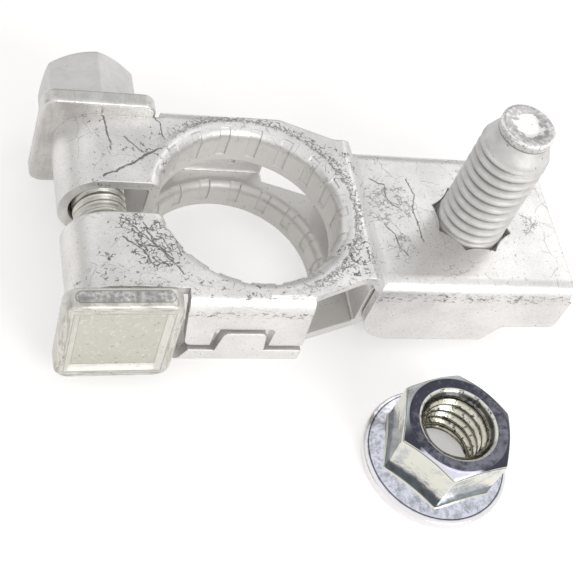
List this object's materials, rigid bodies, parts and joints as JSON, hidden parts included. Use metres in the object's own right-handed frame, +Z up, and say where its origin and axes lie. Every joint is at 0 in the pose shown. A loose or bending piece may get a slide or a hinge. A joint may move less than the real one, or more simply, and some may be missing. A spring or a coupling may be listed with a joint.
{
  "type": "battery terminal clamp",
  "caption": "Folded sheet battery post clamp with a cross bolt and nut at its ears and an upright stud on a block, its flange nut taken off.",
  "frame": {"origin": "on the post hole's axis, in the plane of the lower collar's rim, which the part rests on", "axes": "+X from the post hole towards the stud, +Y along the clamp bolt from its head to its nut, +Z up along the post and the stud"},
  "size_m": [0.0611, 0.0567, 0.0293],
  "materials": {
    "tin_sheet": "matt tin plate, scratched",
    "zinc_bolt": "satin zinc plate",
    "zinc_plate": "satin zinc plate",
    "tin_stud": "satin tin plate",
    "bright_zinc": "bright zinc plate"
  },
  "bodies": {
    "clamp": {"clamp_body": "tin_sheet", "clamp_bolt": "zinc_bolt", "terminal_stud": "tin_stud", "flange_nut": "bright_zinc"},
    "washer": {"clamp_washer": "zinc_plate"},
    "nut": {"clamp_nut": "zinc_plate"}
  },
  "joints": [
    {"name": "washer_back_off", "type": "slide", "parent": "clamp", "child": "washer", "axis": [0, 1, 0], "range_m": [0, 0.0035]},
    {"name": "nut_turn", "type": "hinge", "parent": "washer", "child": "nut", "pos_m": [-0.0161, 0.01772, 0.00832], "axis": [0, 1, 0], "range_deg": [0, 1260]}
  ],
  "couplings": [
    {"joint": "washer_back_off", "follows": "nut_turn", "m_per_rad": 0.00015915}
  ]
}
